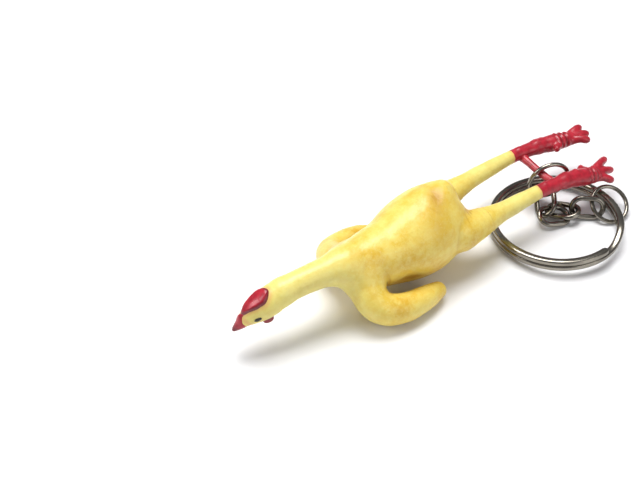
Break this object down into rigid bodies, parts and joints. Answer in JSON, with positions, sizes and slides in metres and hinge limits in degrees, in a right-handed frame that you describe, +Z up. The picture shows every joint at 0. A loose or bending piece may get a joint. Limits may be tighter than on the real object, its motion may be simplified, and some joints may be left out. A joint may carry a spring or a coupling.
{
  "type": "rubber chicken keychain",
  "caption": "Small soft rubber chicken lying on its belly, legs joined by a bar that carries a jump ring, a short curb chain and a split key ring.",
  "frame": {"origin": "centre of the base of the bounding box, on the table the belly rests on", "axes": "+X from the head towards the feet, +Y towards the chicken's right wing, +Z up out of its back"},
  "size_m": [0.0924, 0.0356, 0.0182],
  "materials": {
    "rubber": "satin",
    "red_paint": "gloss",
    "eye_paint": "gloss",
    "nickel": "polished"
  },
  "bodies": {
    "torso": {"torso": "rubber"},
    "neck_lower": {"neck_lower": "rubber"},
    "neck_upper": {"neck_upper": "rubber"},
    "head": {"head": "rubber", "beak": "red_paint", "comb": "red_paint", "eye_left": "eye_paint", "eye_right": "eye_paint", "wattle_left": "red_paint", "wattle_right": "red_paint"},
    "wing_left": {"wing_left": "rubber"},
    "wing_right": {"wing_right": "rubber"},
    "thigh_left": {"thigh_left": "rubber"},
    "thigh_right": {"thigh_right": "rubber"},
    "shank_left": {"shank_left": "rubber", "ankle_left": "red_paint", "crossbar": "red_paint"},
    "shank_right": {"shank_right": "rubber", "ankle_right": "red_paint"},
    "foot_left": {"foot_left": "red_paint"},
    "foot_right": {"foot_right": "red_paint"},
    "crossbar_ring": {"crossbar_ring": "nickel"},
    "chain_link_1": {"chain_link_1": "nickel"},
    "chain_link_2": {"chain_link_2": "nickel"},
    "chain_link_3": {"chain_link_3": "nickel"},
    "chain_link_4": {"chain_link_4": "nickel"},
    "key_ring_link": {"key_ring_link": "nickel"},
    "split_ring": {"split_ring": "nickel"}
  },
  "joints": [
    {"name": "neck_base_nod", "type": "hinge", "parent": "torso", "child": "neck_lower", "pos_m": [-0.02283, 0.00562, 0.0113], "axis": [0, 1, 0], "range_deg": [-25, 40], "stiffness_Nm_per_rad": 0.01},
    {"name": "neck_turn", "type": "hinge", "parent": "neck_lower", "child": "neck_upper", "pos_m": [-0.02983, 0.00612, 0.012], "axis": [0, 0, 1], "range_deg": [-40, 40], "stiffness_Nm_per_rad": 0.01},
    {"name": "head_nod", "type": "hinge", "parent": "neck_upper", "child": "head", "pos_m": [-0.03583, 0.00702, 0.0115], "axis": [0.206, 0.9785, 0], "range_deg": [-28, 35], "stiffness_Nm_per_rad": 0.01},
    {"name": "wing_flap_left", "type": "hinge", "parent": "torso", "child": "wing_left", "pos_m": [-0.01812, 0.00102, 0.0074], "axis": [-1, 0, 0], "range_deg": [-8, 45], "stiffness_Nm_per_rad": 0.01},
    {"name": "wing_flap_right", "type": "hinge", "parent": "torso", "child": "wing_right", "pos_m": [-0.01872, 0.01002, 0.0078], "axis": [1, 0, 0], "range_deg": [-8, 45], "stiffness_Nm_per_rad": 0.01},
    {"name": "hip_flex_left", "type": "hinge", "parent": "torso", "child": "thigh_left", "pos_m": [0.00468, 0.00092, 0.0092], "axis": [0, -0.9999, -0.0111], "range_deg": [-25, 35], "stiffness_Nm_per_rad": 0.01},
    {"name": "hip_flex_right", "type": "hinge", "parent": "torso", "child": "thigh_right", "pos_m": [0.00468, 0.00992, 0.0093], "axis": [0, -0.9999, -0.0111], "range_deg": [-25, 35], "stiffness_Nm_per_rad": 0.01},
    {"name": "knee_flex_left", "type": "hinge", "parent": "thigh_left", "child": "shank_left", "pos_m": [0.01317, 0.00032, 0.0092], "axis": [-0.038, -0.9981, -0.0475], "range_deg": [-20, 45], "stiffness_Nm_per_rad": 0.01},
    {"name": "knee_flex_right", "type": "hinge", "parent": "thigh_right", "child": "shank_right", "pos_m": [0.01358, 0.01082, 0.0097], "axis": [-0.038, -0.9981, -0.0475], "range_deg": [-20, 45], "stiffness_Nm_per_rad": 0.01},
    {"name": "foot_flex_left", "type": "hinge", "parent": "shank_left", "child": "foot_left", "pos_m": [0.03118, -0.00048, 0.0088], "axis": [-0.038, -0.9981, -0.0475], "range_deg": [0, 30], "stiffness_Nm_per_rad": 0.005},
    {"name": "foot_flex_right", "type": "hinge", "parent": "shank_right", "child": "foot_right", "pos_m": [0.03358, 0.01032, 0.0096], "axis": [-0.038, -0.9981, -0.0475], "range_deg": [-20, 30], "stiffness_Nm_per_rad": 0.005},
    {"name": "crossbar_ring_swing", "type": "hinge", "parent": "shank_left", "child": "crossbar_ring", "pos_m": [0.02803, 0.00424, 0.00991], "axis": [0.4486, -0.1638, 0.8786], "range_deg": [0, 40]},
    {"name": "link_1_swing", "type": "hinge", "parent": "crossbar_ring", "child": "chain_link_1", "pos_m": [0.03157, 0.00281, 0.00244], "axis": [-0.3278, -0.2085, -0.9214], "range_deg": [0, 35]},
    {"name": "link_2_swing", "type": "hinge", "parent": "chain_link_1", "child": "chain_link_2", "pos_m": [0.02669, 0.00005, 0.00174], "axis": [-0.6746, 0.5225, 0.5214], "range_deg": [0, 35]},
    {"name": "link_3_swing", "type": "hinge", "parent": "chain_link_2", "child": "chain_link_3", "pos_m": [0.02842, 0.00008, 0.00206], "axis": [-0.4934, 0.286, 0.8214], "range_deg": [0, 30]},
    {"name": "link_4_swing", "type": "hinge", "parent": "chain_link_3", "child": "chain_link_4", "pos_m": [0.03192, -0.00362, 0.00163], "axis": [-0.2076, 0.3996, 0.8929], "range_deg": [0, 85]},
    {"name": "key_ring_link_swing", "type": "hinge", "parent": "chain_link_4", "child": "key_ring_link", "pos_m": [0.03624, -0.00467, 0.00348], "axis": [-0.7112, -0.3286, -0.6214], "range_deg": [0, 75]},
    {"name": "split_ring_swing", "type": "hinge", "parent": "key_ring_link", "child": "split_ring", "pos_m": [0.03999, -0.00368, 0.00447], "axis": [-0.9861, -0.1645, -0.0214], "range_deg": [0, 75]}
  ],
  "couplings": [
    {"joint": "hip_flex_right", "follows": "hip_flex_left", "ratio": 1},
    {"joint": "knee_flex_right", "follows": "knee_flex_left", "ratio": 1}
  ]
}
